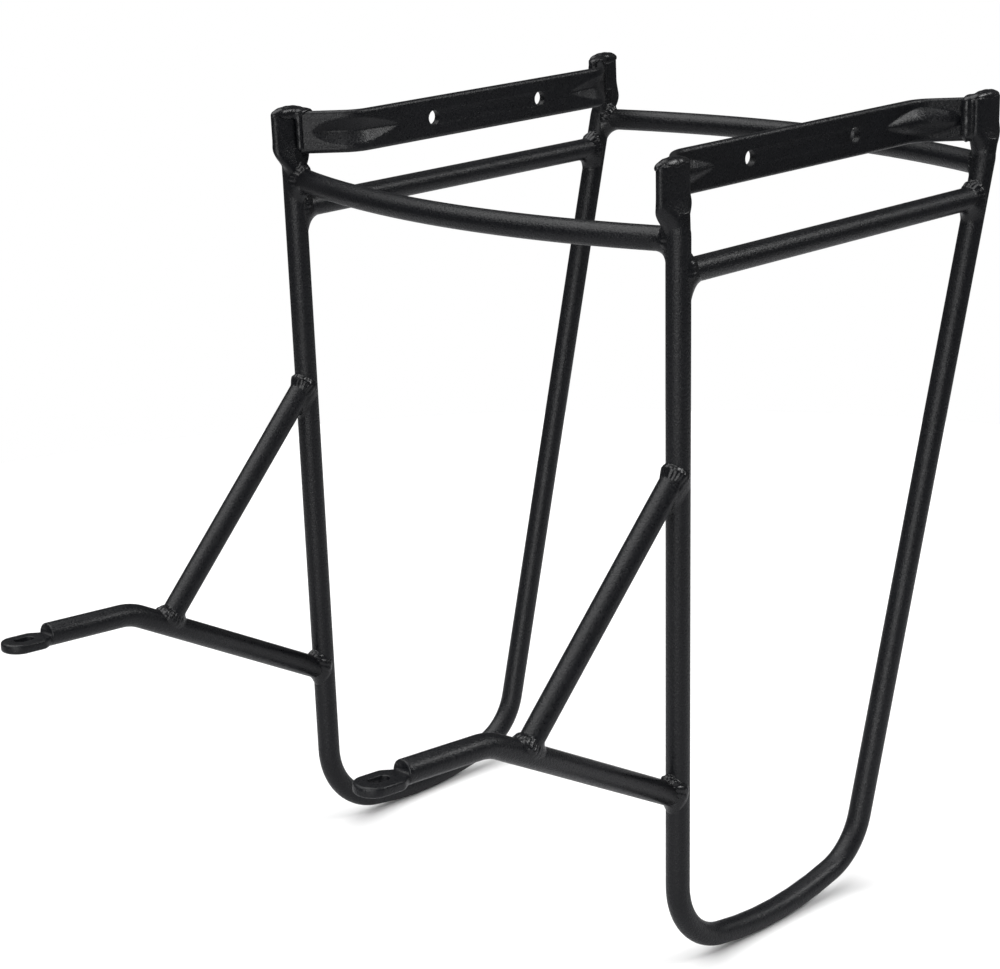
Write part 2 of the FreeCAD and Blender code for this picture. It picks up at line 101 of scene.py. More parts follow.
def walk(y, z, heading, runs, bend_step=4.0):
    """Stations (y, z, heading) along straight runs and bends."""
    stations = [(y, z, heading)]
    for run in runs:
        if not isinstance(run, tuple):
            y, z = step(y, z, heading, run)
            stations.append((y, z, heading))
            continue
        radius, turn = run
        centre = step(y, z, heading + 90, radius)
        count = max(2, round(turn / bend_step))
        for k in range(1, count + 1):
            now = heading + turn * k / count
            y, z = step(*centre, now - 90, radius)
            stations.append((y, z, now))
        heading += turn
    return stations


LOOP_RUNS = [333.9, (38.2, 79.9), (205.5, 25.2), (34.3, 59.75), 357.3]
STRUT_RUNS = [137.2, (32.0, 24.6), 45.7]
LOOP_STATIONS = walk(front_leg_y(-SHOULDER_DEPTH), -SHOULDER_DEPTH, 270 - RAKE, LOOP_RUNS)
REAR_UP = LOOP_STATIONS[-1][2] - 360


def rear_leg_y(z):
    """The rear leg's axis at a level."""
    end_y, end_z, heading = LOOP_STATIONS[-1]
    return end_y + (z - end_z) / math.tan(math.radians(heading))


print("rear leg top at", [round(v, 1) for v in LOOP_STATIONS[-1]])

# %% [markdown]
# ## The grain of the coat
# The powder melts into a fine orange peel that breaks the highlights into specks. A shader node
# group makes this grain once, from three noises of different size, so that the tubes and the welds
# can share it with different strengths.

# %% Powder coat grain
GRAIN_INPUTS = (
    ("Peel Scale", 900), ("Speck Scale", 2600), ("Roughness Low", 0.3), ("Roughness High", 0.5),
)
CLOUD_SCALE = 45
SPECK_HEIGHT = 0.45
PEEL_LOW = 0.35
PEEL_HIGH = 0.65


def grain_noises(nodes, links):
    """Peel, speck and cloud noises on the piece's own coordinates."""
    place = nodes.new("ShaderNodeTexCoord")
    noises = []
    for detail in (2, 1, 3):
        noise = nodes.new("ShaderNodeTexNoise")
        noise.inputs["Detail"].default_value = detail
        links.new(place.outputs["Object"], noise.inputs["Vector"])
        noises.append(noise)
    return noises


def grain_group():
    """Node group: grain of the coat. Puts out a height, a colour mask and a roughness."""
    group = bpy.data.node_groups.new("coat grain", "ShaderNodeTree")
    face = group.interface
    for socket, default in GRAIN_INPUTS:
        made = face.new_socket(socket, in_out="INPUT", socket_type="NodeSocketFloat")
        made.default_value = default
    for socket in ("Height", "Tint", "Roughness"):
        face.new_socket(socket, in_out="OUTPUT", socket_type="NodeSocketFloat")
    nodes = group.nodes
    links = group.links
    inside = nodes.new("NodeGroupInput")
    out = nodes.new("NodeGroupOutput")
    peel, speck, cloud = grain_noises(nodes, links)
    cloud.inputs["Scale"].default_value = CLOUD_SCALE
    links.new(inside.outputs["Peel Scale"], peel.inputs["Scale"])
    links.new(inside.outputs["Speck Scale"], speck.inputs["Scale"])
    height = nodes.new("ShaderNodeMath")
    height.operation = "MULTIPLY_ADD"
    height.inputs[1].default_value = SPECK_HEIGHT
    links.new(speck.outputs["Fac"], height.inputs[0])
    links.new(peel.outputs["Fac"], height.inputs[2])
    links.new(height.outputs[0], out.inputs["Height"])
    links.new(cloud.outputs["Fac"], out.inputs["Tint"])
    spread = nodes.new("ShaderNodeMapRange")
    spread.inputs["From Min"].default_value = PEEL_LOW
    spread.inputs["From Max"].default_value = PEEL_HIGH
    links.new(peel.outputs["Fac"], spread.inputs["Value"])
    links.new(inside.outputs["Roughness Low"], spread.inputs["To Min"])
    links.new(inside.outputs["Roughness High"], spread.inputs["To Max"])
    links.new(spread.outputs["Result"], out.inputs["Roughness"])
    return group


GRAIN = grain_group()
print("grain nodes:", len(GRAIN.nodes))

# %% [markdown]
# ## Two coats
# The coat is a near black polyester powder, satin, on every piece. A thin clear layer adds a soft
# sheen. On the welds the powder flows out smoother, so they are glossier. The CAD nodes that need
# no new skin, which are the rails, braces and bowed tubes, get the coat as they are.

# %% Two coats
CLEAR_ROUGHNESS = 0.22
RELIEF_DEPTH = 0.0003


def coat(name, dark, light, rough, bump, coat_weight, specular):
    """A black powder coat. Its colour drifts between dark and light."""
    material = bpy.data.materials.new(name)
    material.use_nodes = True
    nodes = material.node_tree.nodes
    links = material.node_tree.links
    shader = nodes["Principled BSDF"]
    shader.inputs["Coat Weight"].default_value = coat_weight
    shader.inputs["Coat Roughness"].default_value = CLEAR_ROUGHNESS
    shader.inputs["Specular IOR Level"].default_value = specular
    grain = nodes.new("ShaderNodeGroup")
    grain.node_tree = GRAIN
    grain.inputs["Roughness Low"].default_value = rough[0]
    grain.inputs["Roughness High"].default_value = rough[1]
    tint = nodes.new("ShaderNodeMix")
    tint.data_type = "RGBA"
    tint.inputs["A"].default_value = (*dark, 1)
    tint.inputs["B"].default_value = (*light, 1)
    links.new(grain.outputs["Tint"], tint.inputs["Factor"])
    links.new(tint.outputs["Result"], shader.inputs["Base Color"])
    links.new(grain.outputs["Roughness"], shader.inputs["Roughness"])
    relief = nodes.new("ShaderNodeBump")
    relief.inputs["Strength"].default_value = bump
    relief.inputs["Distance"].default_value = RELIEF_DEPTH
    links.new(grain.outputs["Height"], relief.inputs["Height"])
    links.new(relief.outputs["Normal"], shader.inputs["Normal"])
    return material


TUBE_COAT = coat("black powder coat", dark=(0.0022, 0.0025, 0.0034), light=(0.005, 0.0054, 0.007),
                 rough=(0.27, 0.42), bump=0.9, coat_weight=0.05, specular=0.28)
WELD_COAT = coat("powder coat on welds", dark=(0.0022, 0.0025, 0.0034),
                 light=(0.005, 0.0052, 0.0065), rough=(0.22, 0.36), bump=0.5, coat_weight=0.12,
                 specular=0.3)


def cad_object(name):
    """The Blender object of a CAD node."""
    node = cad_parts[name]
    return node if isinstance(node, bpy.types.Object) else bpy.data.objects[name]


for node_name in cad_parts:
    for material_slot in cad_object(node_name).material_slots:
        material_slot.material = WELD_COAT if "weld" in node_name else TUBE_COAT
print("coats:", TUBE_COAT.name, "and", WELD_COAT.name)

# %% [markdown]
# ## A skin over rings
# Every bent or flattened tube here is a row of rings with the same number of points, joined by
# quads. That keeps full control of the section, which a curve's bevel would not give.

# %% Skin over rings


def skin(name, rings):
    """A closed mesh over rings of points in millimetres, capped at both ends."""
    count = len(rings[0])
    last = (len(rings) - 1) * count
    faces = []
    for a in range(0, last, count):
        b = a + count
        for j in range(count):
            n = (j + 1) % count
            faces.append((a + j, a + n, b + n, b + j))
    faces.append(tuple(range(count)))
    faces.append(tuple(range(last, last + count)))
    mesh = bpy.data.meshes.new(name)
    mesh.from_pydata([point * MM for ring in rings for point in ring], [], faces)
    outwards(mesh)
    return mesh


def outwards(mesh):
    """Point every face out of the solid, and shade it smooth."""
    work = bmesh.new()
    work.from_mesh(mesh)
    bmesh.ops.recalc_face_normals(work, faces=work.faces)
    for face in work.faces:
        face.smooth = True
    work.to_mesh(mesh)
    work.free()


def add_object(name, mesh):
    """A new object in the scene."""
    piece = bpy.data.objects.new(name, mesh)
    bpy.context.scene.collection.objects.link(piece)
    return piece


print("skins are rings joined by quads")

# %% [markdown]
# ## Cutting, joining and finishing
# Holes are cut and stubs joined with booleans, whose result is made plain mesh at once. A small
# bevel then rounds the sharp rims, because powder builds a soft edge there. Each finished piece
# hides the CAD node that it stands for.

# %% Helpers for finished pieces
RIM_SEGMENTS = 3
RIM_ANGLE = math.radians(50)


def bake_modifiers(piece):
    """Turn a piece's modifiers into plain mesh."""
    graph = bpy.context.evaluated_depsgraph_get()
    graph.update()
    result = bpy.data.meshes.new_from_object(piece.evaluated_get(graph))
    piece.modifiers.clear()
    piece.data = result
    return result


def cut_or_join(piece, tool_mesh, operation):
    """Boolean with a helper mesh, which is removed afterwards."""
    tool = add_object("tool", tool_mesh)
    change = piece.modifiers.new("boolean", "BOOLEAN")
    change.operation = operation
    change.solver = "EXACT"
    change.object = tool
    bake_modifiers(piece)
    bpy.data.objects.remove(tool)


def round_rims(piece, width):
    """Bevel a piece's sharp rims by a width in millimetres."""
    rims = piece.modifiers.new("rims", "BEVEL")
    rims.width = width * MM
    rims.segments = RIM_SEGMENTS
    rims.limit_method = "ANGLE"
    rims.angle_limit = RIM_ANGLE
    return bake_modifiers(piece)


def finish_piece(piece, node, material):
    """Give a piece its coat and its body, and hide the CAD node that it stands for."""
    piece.data.materials.clear()
    piece.data.materials.append(material)
    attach(piece, "root")
    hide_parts(node)
    print(node, "faces:", len(piece.data.polygons))


print("rims are rounded in", RIM_SEGMENTS, "segments")

# %% [markdown]
# ## Side loops
# Each loop is one tube. Its ends are pressed flat in a die, which rolls the round section over into
# a flat one with soft shoulders. A ring here is a circle whose sides are pushed apart by a smooth
# ramp, so round, half pressed and flat are all the same formula.

# %% The section of a leg
RING_POINTS = 96
FLAT_HALF_THICKNESS = 3.1
FLAT_SPREAD = 7.5
FLAT_INBOARD = 0.9
FLAT_BOTTOM = -2.0
FLAT_TOP = 10.5
SQUARENESS = 2.2
SHOULDER_LENGTH = 20.0
NARROWING_START = 2.0
NARROWING_LENGTH = 13.0
FILL_DEPTH = 7.0
SHOULDER_END = NARROWING_START + NARROWING_LENGTH + FILL_DEPTH
CROWN_SPREAD = 0.6
ROUND = 100.0                # a depth at which the tube is fully round


def smooth(t):
    """A soft ramp from 0 to 1."""
    return t * t * (3 - 2 * t)


def left_over(depth, start, length):
    """1 above a ramp that starts at a depth, 0 below it, and smooth between."""
    return 1 - smooth(min(1.0, max(0.0, (depth - start) / length)))


def pressed_ring(side, y, z, heading, depth, shrink=1.0):
    """Section of a leg, at a depth below its pressed end. It thickens first, and narrows after."""
    flatness = left_over(depth, 0, SHOULDER_LENGTH)
    radius = (TUBE_RADIUS + (FLAT_HALF_THICKNESS - TUBE_RADIUS) * flatness) * shrink
    ring = []
    for j in range(RING_POINTS):
        angle = 2 * math.pi * j / RING_POINTS
        inboard = 0.5 - 0.5 * math.cos(angle)
        start = NARROWING_START + FILL_DEPTH * inboard
        spread = FLAT_SPREAD * left_over(depth, start, NARROWING_LENGTH)
        spread *= CROWN_SPREAD + (1 - CROWN_SPREAD) * shrink
        across = radius * math.cos(angle) - FLAT_INBOARD * flatness
        squared = math.tanh(SQUARENESS * math.sin(angle)) / math.tanh(SQUARENESS)
        along = radius * math.sin(angle) + spread * squared
        ring.append(side_point(side, across, *step(y, z, heading - 90, along)))
    return ring


print("round by", SHOULDER_END - FLAT_BOTTOM, "mm below the bolt level")

# %% [markdown]
# ## From the crown to the tube
# A pressed end closes in a small crown, stays flat beside the plate, and opens into the tube at its
# shoulder. Each stretch is a few rings, so that the whole loop is one unbroken skin.

# %% Side loops
CROWN_RINGS = 7
CROWN_START = 88
CROWN_STEP = 14.5
CROWN_RISE = 2.2
FLAT_RINGS = 4
SHOULDER_RINGS = 28


def end_rings(side, flat_y, leg_y, heading, leg_heading):
    """Rings of a pressed end, from its crown to the tube. leg_y gives the leg's y at a level."""
    rings = []
    for k in range(CROWN_RINGS):
        tip = math.radians(CROWN_START - CROWN_STEP * k)
        z = FLAT_TOP + CROWN_RISE * math.sin(tip)
        rings.append(pressed_ring(side, flat_y, z, heading, 0, math.cos(tip)))
    for k in range(1, FLAT_RINGS + 1):
        z = FLAT_TOP + (FLAT_BOTTOM - FLAT_TOP) * k / FLAT_RINGS
        rings.append(pressed_ring(side, flat_y, z, heading, 0))
    for k in range(1, SHOULDER_RINGS + 1):
        t = k / SHOULDER_RINGS
        z = FLAT_BOTTOM - SHOULDER_END * t
        eased = smooth(t)
        y = flat_y + (leg_y(z) - flat_y) * eased
        turned = heading + (leg_heading - heading) * eased
        rings.append(pressed_ring(side, y, z, turned, FLAT_BOTTOM - z))
    return rings


def walked_back(ring):
    """The same ring walked the other way, so that it joins rings with the opposite heading."""
    return [ring[-k % len(ring)] for k in range(len(ring))]


def side_loop(word, side):
    """One loop, from the front end round the bottom to the rear end."""
    rings = end_rings(side, FRONT_FLAT_Y, front_leg_y, 270, 270 - RAKE)
    for y, z, heading in LOOP_STATIONS[1:-1]:
        rings.append(pressed_ring(side, y, z, heading, ROUND))
    rear = end_rings(side, REAR_FLAT_Y, rear_leg_y, 270, REAR_UP + 180)
    rings += [walked_back(ring) for ring in reversed(rear)]
    name = f"{word}_side_loop"
    piece = add_object(f"{name}_skin", skin(name, rings))
    finish_piece(piece, name, TUBE_COAT)


for side_word, side_sign in SIDES:
    side_loop(side_word, side_sign)

# %% [markdown]
# ## The path of a top plate
# A plate is a larger tube pressed flat. Near each end it is turned out to its leg in one bend. The
# path is walked from end to end, with more stations where the bend and the dart need them.

# %% The path of a plate
PLATE_START = (4.06, 3.1)    # inboard, and along Y
JOG_ANGLE = 45.0
JOG_RADIUS = 18.0
JOG_TANGENT = JOG_RADIUS * math.tan(math.radians(JOG_ANGLE / 2))
JOG_RUN = 29.9 - JOG_TANGENT
PLATE_RUN = 187.6 - 2 * JOG_TANGENT
DART_START = 7.0
DART_LENGTH = 50.0
JOG_STEPS = 24
BEND_STEPS = 16
DART_STEPS = 25


def plate_stations():
    """(inboard, y, heading, distance) along a plate. The heading is from +Y towards inboard."""
    inboard, y = PLATE_START
    heading = JOG_ANGLE
    distance = 0.0
    stations = [(inboard, y, heading, distance)]

    def forward(length, count):
        nonlocal inboard, y, distance
        for _ in range(count):
            inboard += length / count * math.sin(math.radians(heading))
            y += length / count * math.cos(math.radians(heading))
            distance += length / count
            stations.append((inboard, y, heading, distance))

    def turn_back():
        nonlocal heading
        bend = math.radians(JOG_ANGLE) * JOG_RADIUS / BEND_STEPS
        for _ in range(BEND_STEPS):
            heading -= JOG_ANGLE / BEND_STEPS / 2
            forward(bend, 1)
            heading -= JOG_ANGLE / BEND_STEPS / 2

    flat_end = DART_LENGTH + DART_START - JOG_RUN
    forward(JOG_RUN, JOG_STEPS)
    turn_back()
    forward(flat_end, DART_STEPS)
    forward(PLATE_RUN - 2 * flat_end, 1)
    forward(flat_end, DART_STEPS)
    turn_back()
    forward(JOG_RUN, JOG_STEPS)
    return stations


print("plate length:", round(plate_stations()[-1][3], 1))

# %% [markdown]
# ## The dart in a plate
# The press leaves a boat shaped dart at each bend: a crease on the inside and a rounded rib on the
# outside. The plate is a skin over flat rings whose two faces are pushed outwards inside the dart's
# outline, which costs no extra piece and keeps the wall whole.

# %% The section of a plate
PLATE_HALF_HEIGHT = 11.3
PLATE_HALF_THICKNESS = 2.0
DART_HALF_HEIGHT = 7.0
DART_DEPTH = 3.3
DART_SKEW = 0.7
DART_FULLNESS = 0.8
CREASE_SHAPE = 0.9
FACE_COLUMNS = 28
EDGE_STEPS = 8


def dart(distance_from_end):
    """Size of the dart, 0 to 1, at a distance from the plate's end."""
    t = (distance_from_end - DART_START) / DART_LENGTH
    if t <= 0 or t >= 1:
        return 0.0
    return math.sin(math.pi * t ** DART_SKEW) ** DART_FULLNESS


def dart_push(leaf, up, face):
    """How far a face is pushed outwards at a height. The rib is rounded, the crease is sharper."""
    reach = DART_HALF_HEIGHT * leaf
    if abs(up) >= reach:
        return 0.0
    inside = 1 - abs(up) / reach
    shape = math.sin(inside * math.pi / 2) if face > 0 else inside ** CREASE_SHAPE
    return leaf * DART_DEPTH * shape


def plate_section(leaf):
    """Ring of (outwards, up) round a plate's section, with the dart pressed in."""
    half_flat = PLATE_HALF_HEIGHT - PLATE_HALF_THICKNESS
    ring = []
    for face in (1, -1):
        for k in range(FACE_COLUMNS + 1):
            up = face * half_flat * (2 * k / FACE_COLUMNS - 1)
            ring.append((face * PLATE_HALF_THICKNESS + dart_push(leaf, up, face), up))
        for k in range(1, EDGE_STEPS):
            angle = math.pi * k / EDGE_STEPS
            ring.append((face * PLATE_HALF_THICKNESS * math.cos(angle),
                         face * (half_flat + PLATE_HALF_THICKNESS * math.sin(angle))))
    return ring


print("points round a plate:", len(plate_section(0.0)))

# %% [markdown]
# ## Top plates
# The rings are laid along the path, and then the two bolt holes are cut. Cutting comes last, so the
# holes are round whatever the rings do.

# %% Top plates
BOLT_Y = (78.2, 159.3)
BOLT_RADIUS = 4
BOLT_TOOL_X = (100, 125)
HOLE_POINTS = 48
PLATE_RIM = 0.4


def bolt_tool(side, y):
    """A rod that cuts one bolt hole."""
    rings = []
    for x in BOLT_TOOL_X:
        ring = []
        for k in range(HOLE_POINTS):
            angle = 2 * math.pi * k / HOLE_POINTS
            ring.append(Vector((side * x, FRONT_LEG_Y + y + BOLT_RADIUS * math.cos(angle),
                                BOLT_LEVEL + BOLT_RADIUS * math.sin(angle))))
        rings.append(ring)
    return skin("bolt tool", rings)


def top_plate(word, side):
    """One plate with its darts and bolt holes."""
    stations = plate_stations()
    total = stations[-1][3]
    rings = []
    for inboard, y, heading, distance in stations:
        leaf = max(dart(distance), dart(total - distance))
        angle = math.radians(heading)
        ring = []
        for out, up in plate_section(leaf):
            x = HALF_WIDTH - inboard + out * math.cos(angle)
            y_here = FRONT_LEG_Y + y + out * math.sin(angle)
            ring.append(Vector((side * x, y_here, BOLT_LEVEL + up)))
        rings.append(ring)
    name = f"{word}_top_plate"
    piece = add_object(f"{name}_skin", skin(name, rings))
    for y in BOLT_Y:
        cut_or_join(piece, bolt_tool(side, y), "DIFFERENCE")
    round_rims(piece, PLATE_RIM)
    outwards(piece.data)
    finish_piece(piece, name, TUBE_COAT)


for side_word, side_sign in SIDES:
    top_plate(side_word, side_sign)

# %% [markdown]
# ## The tab of a strut
# The strut is round up to its last few millimetres, then a die presses it into a level tab and
# punches a slot. The tab is a slab over its own outline, inset a little at each face so that its
# edges are soft.

# %% The tab of a strut
STRUT_DROP = 301.5
STRUT_HEADING = 180 - 28.15
TAB_HALF_BREADTH = 8.7
TAB_HALF_THICKNESS = 2.5
TAB_EDGE = 1.3
TAB_START = -1.5
NECK_END = 7
NECK_STEPS = 8
NECK_SHARE = 0.55
NECK_GAIN = 0.45
SLOT_CENTRE = 13.5
SLOT_RADIUS = 3.0
SLOT_SHIFT = 2.5
TIP_CENTRE = SLOT_CENTRE + 3.5
TIP_STEPS = 32
SLAB_STEPS = 4


def rounded_slab(place, outline, half_thickness, edge):
    """A slab with softened edges. The outline gives (x, along) for an inset."""
    rings = []
    for face in (-1, 1):
        turns = range(SLAB_STEPS + 1)
        for k in turns if face < 0 else reversed(turns):
            angle = math.radians(90 * k / SLAB_STEPS)
            inset = edge * (1 - math.sin(angle))
            height = face * (half_thickness - edge * (1 - math.cos(angle)))
            rings.append([place(x, along, height) for x, along in outline(inset)])
    return skin("slab", rings)


def tab_outline(inset):
    """Outline of the tab: a neck that widens from the tube, and a round tip."""
    half = TAB_HALF_BREADTH - inset
    start = TAB_START + inset
    neck = []
    for k in range(NECK_STEPS + 1):
        width = half * (NECK_SHARE + NECK_GAIN * smooth(k / NECK_STEPS))
        neck.append((width, start + (NECK_END - TAB_START - inset) * k / NECK_STEPS))
    points = [(-width, along) for width, along in neck] + [(-half, TIP_CENTRE)]
    for k in range(1, TIP_STEPS):
        angle = math.pi - math.pi * k / TIP_STEPS
        points.append((half * math.cos(angle), TIP_CENTRE + half * math.sin(angle)))
    return points + [(half, TIP_CENTRE)] + list(reversed(neck))


def slot_outline():
    """Outline of the punched slot."""
    points = []
    for k in range(HOLE_POINTS):
        angle = 2 * math.pi * k / HOLE_POINTS
        shift = SLOT_SHIFT if math.sin(angle) >= 0 else -SLOT_SHIFT
        along = SLOT_CENTRE + shift + SLOT_RADIUS * math.sin(angle)
        points.append((SLOT_RADIUS * math.cos(angle), along))
    return points


print("points round a tab:", len(tab_outline(0.0)))

# %% [markdown]
# ## Lower struts
# The tube and the tab are made apart and joined with a boolean, which leaves the same small step as
# the die does.

# %% Lower struts
TAB_DROP = 2.0
TAB_RIM = 0.5
STRUT_BEND_STEP = 2.0
SLOT_TOOL_REACH = 9
STRUT_END = ((1.0, 1.0), (0.5, 0.98), (0.15, 0.93), (0.0, 0.86))   # distance back, and size


def tab_place(side, station):
    """Places beyond a strut's end: x across, along its heading, height above the tab's middle."""
    end_y, end_z, heading = station

    def place(x, along, height):
        y, z = step(*step(end_y, end_z, heading, along), heading - 90, height - TAB_DROP)
        return side_point(side, x, y, z)

    return place


def lower_strut(word, side):
    """One strut, from its front leg to the slotted tab."""
    start = (front_leg_y(-STRUT_DROP), -STRUT_DROP, STRUT_HEADING)
    stations = walk(*start, STRUT_RUNS, STRUT_BEND_STEP)
    rings = [pressed_ring(side, *station, ROUND) for station in stations[:-1]]
    end_y, end_z, heading = stations[-1]
    for back, shrink in STRUT_END:
        here = step(end_y, end_z, heading, -back)
        rings.append(pressed_ring(side, *here, heading, ROUND, shrink))
    name = f"{word}_lower_strut"
    piece = add_object(f"{name}_skin", skin(name, rings))
    place = tab_place(side, stations[-1])
    tab = add_object("tab", rounded_slab(place, tab_outline, TAB_HALF_THICKNESS, TAB_EDGE))
    slot_rings = [[place(x, along, height) for x, along in slot_outline()]
                  for height in (-SLOT_TOOL_REACH, SLOT_TOOL_REACH)]
    cut_or_join(tab, skin("slot tool", slot_rings), "DIFFERENCE")
    tab_mesh = round_rims(tab, TAB_RIM)
    cut_or_join(piece, tab_mesh.copy(), "UNION")
    bpy.data.objects.remove(tab)
    outwards(piece.data)
    finish_piece(piece, name, TUBE_COAT)


for side_word, side_sign in SIDES:
    lower_strut(side_word, side_sign)

# %% [markdown]
# ## Weld beads
# A welder lays a rippled bead round the seam, and on the underside the metal sags into a smooth
# web. Both follow from two distances: how far a point is from each tube's surface. Where both are
# small is the seam, and a smooth minimum of the two gives the web. A Geometry Nodes tree works this
# out over a small block of space and skins it, so any pair of tubes can be welded, even where their
# axes miss each other. These are the tree's inputs, and short calls that add its math nodes.

# %% Inputs and short calls for the weld tree
WELD_INPUTS = (
    ("Main Origin", "NodeSocketVector"), ("Main Axis", "NodeSocketVector"),
    ("Branch Origin", "NodeSocketVector"), ("Branch Axis", "NodeSocketVector"),
    ("Ripple Axis", "NodeSocketVector"), ("Down", "NodeSocketVector"),
    ("Low Corner", "NodeSocketVector"), ("High Corner", "NodeSocketVector"),
    ("Branch Start", "NodeSocketFloat"), ("Tube Radius", "NodeSocketFloat"),
    ("Bead", "NodeSocketFloat"), ("Web", "NodeSocketFloat"), ("Ripple", "NodeSocketFloat"),
    ("Seed", "NodeSocketFloat"), ("Resolution", "NodeSocketInt"),
    ("Material", "NodeSocketMaterial"),
)


class FieldTree:
    """Short calls that add the math nodes of a Geometry Nodes tree."""

    def __init__(self, name):
        self.tree = bpy.data.node_groups.new(name, "GeometryNodeTree")
        self.nodes = self.tree.nodes

    def feed(self, node, values):
        for socket, value in zip(node.inputs, values):
            if isinstance(value, bpy.types.NodeSocket):
                self.tree.links.new(value, socket)
            else:
                socket.default_value = value

    def math(self, operation, *values):
        node = self.nodes.new("ShaderNodeMath")
        node.operation = operation
        self.feed(node, values)
        return node.outputs[0]

    def vector(self, operation, *values, out="Vector"):
        node = self.nodes.new("ShaderNodeVectorMath")
        node.operation = operation
        self.feed(node, values)
        return node.outputs[out]

    def scale(self, vector, factor):
        node = self.nodes.new("ShaderNodeVectorMath")
        node.operation = "SCALE"
        self.feed(node, (vector,))
        self.tree.links.new(factor, node.inputs["Scale"])
        return node.outputs["Vector"]

    def dot(self, one, other):
        return self.vector("DOT_PRODUCT", one, other, out="Value")

    def ramp(self, value, start, end, low, high):
        """A soft ramp from low, where the value is at start, to high, where it is at end."""
        node = self.nodes.new("ShaderNodeMapRange")
        node.interpolation_type = "SMOOTHSTEP"
        limits = (("From Min", start), ("From Max", end), ("To Min", low), ("To Max", high))
        for name, limit in limits:
            node.inputs[name].default_value = limit
        self.tree.links.new(value, node.inputs["Value"])
        return node.outputs["Result"]


print("weld tree inputs:", len(WELD_INPUTS))

# %% [markdown]
# ## How far from each tube
# The main tube is endless, so its distance is the length of a cross product less the radius. The
# branch only runs one way, so the place along it is held at its start, and a soft ramp tells the
# side that faces the branch from the back of the main tube.

# %% Distances to the two tubes
FACING_START = -0.001
FACING_END = 0.003


def tube_distances(build, given, place):
    """Distances to both tubes, the way out from the branch, and how far a point faces it."""
    radius = given["Tube Radius"]
    from_main = build.vector("SUBTRACT", place, given["Main Origin"])
    off_main = build.vector("CROSS_PRODUCT", from_main, given["Main Axis"])
    to_main = build.math("SUBTRACT", build.vector("LENGTH", off_main, out="Value"), radius)
    from_branch = build.vector("SUBTRACT", place, given["Branch Origin"])
    distance_out = build.dot(from_branch, given["Branch Axis"])
    along = build.math("MAXIMUM", distance_out, given["Branch Start"])
    facing = build.ramp(distance_out, FACING_START, FACING_END, 0.0, 1.0)
    radial = build.vector("SUBTRACT", from_branch, build.scale(given["Branch Axis"], along))
    to_branch = build.math("SUBTRACT", build.vector("LENGTH", radial, out="Value"), radius)
    return to_main, to_branch, build.vector("NORMALIZE", radial), facing


print("a weld faces its branch from", FACING_START / MM, "to", FACING_END / MM, "mm")

# %% [markdown]
# ## Ripples
# A bead is a row of overlapping coins of metal. A sine of the angle round the branch gives the
# coins, a noise shakes them so that no two welds match, and the sagging underside has none.

# %% Ripples
RIPPLE_COUNT = 16
COIN_SHAPE = 0.6
LUMP_SCALE = 170
LUMP_DETAIL = 2
LUMP_SHAKE = 2.2
UNDER_SOFTNESS = 0.3


def weld_ripples(build, given, place, way):
    """How far under a point is, the lumps of the metal, and the ripples of the coins."""
    under = build.math("SMOOTH_MAX", build.dot(way, given["Down"]), 0.0, UNDER_SOFTNESS)
    upper = build.math("SUBTRACT", 1.0, under)
    third = build.vector("CROSS_PRODUCT", given["Branch Axis"], given["Ripple Axis"])
    round_branch = build.math("ARCTAN2", build.dot(way, third),
                              build.dot(way, given["Ripple Axis"]))
    uneven = build.nodes.new("ShaderNodeTexNoise")
    uneven.noise_dimensions = "4D"
    uneven.inputs["Scale"].default_value = LUMP_SCALE
    uneven.inputs["Detail"].default_value = LUMP_DETAIL
    build.tree.links.new(place, uneven.inputs["Vector"])
    build.tree.links.new(given["Seed"], uneven.inputs["W"])
    lump = build.math("SUBTRACT", uneven.outputs[0], 0.5)
    turns = build.math("MULTIPLY", round_branch, RIPPLE_COUNT / 2)
    shaken = build.math("MULTIPLY_ADD", lump, LUMP_SHAKE, turns)
    coin = build.math("POWER", build.math("ABSOLUTE", build.math("SINE", shaken)), COIN_SHAPE)
    ripple = build.math("MULTIPLY", build.math("MULTIPLY", coin, given["Ripple"]), upper)
    return under, lump, ripple


print("ripples round a weld:", RIPPLE_COUNT)

# %% [markdown]
# ## Bead and web
# The bead is a rope of metal along the seam, fullest on top, thinner underneath, and faint on the
# back. The web is a smooth minimum of the two tubes, wider underneath. Bead, web and tubes flow
# into each other, and away from the seam the tubes' part sinks just below the real tubes, which
# hides the weld's end.

# %% Bead and web
CREST_LIMITS = (0.8, -0.9, 0.25, 1.0)
LUMP_HEIGHT = 0.0022
BACK_BEAD = 0.2
UPPER_WEB = 0.4
SINK_SLOPE = 0.05
SINK_DEPTH = 0.00006
JOIN_SOFTNESS = 0.0022
WELD_REACH = 12.0


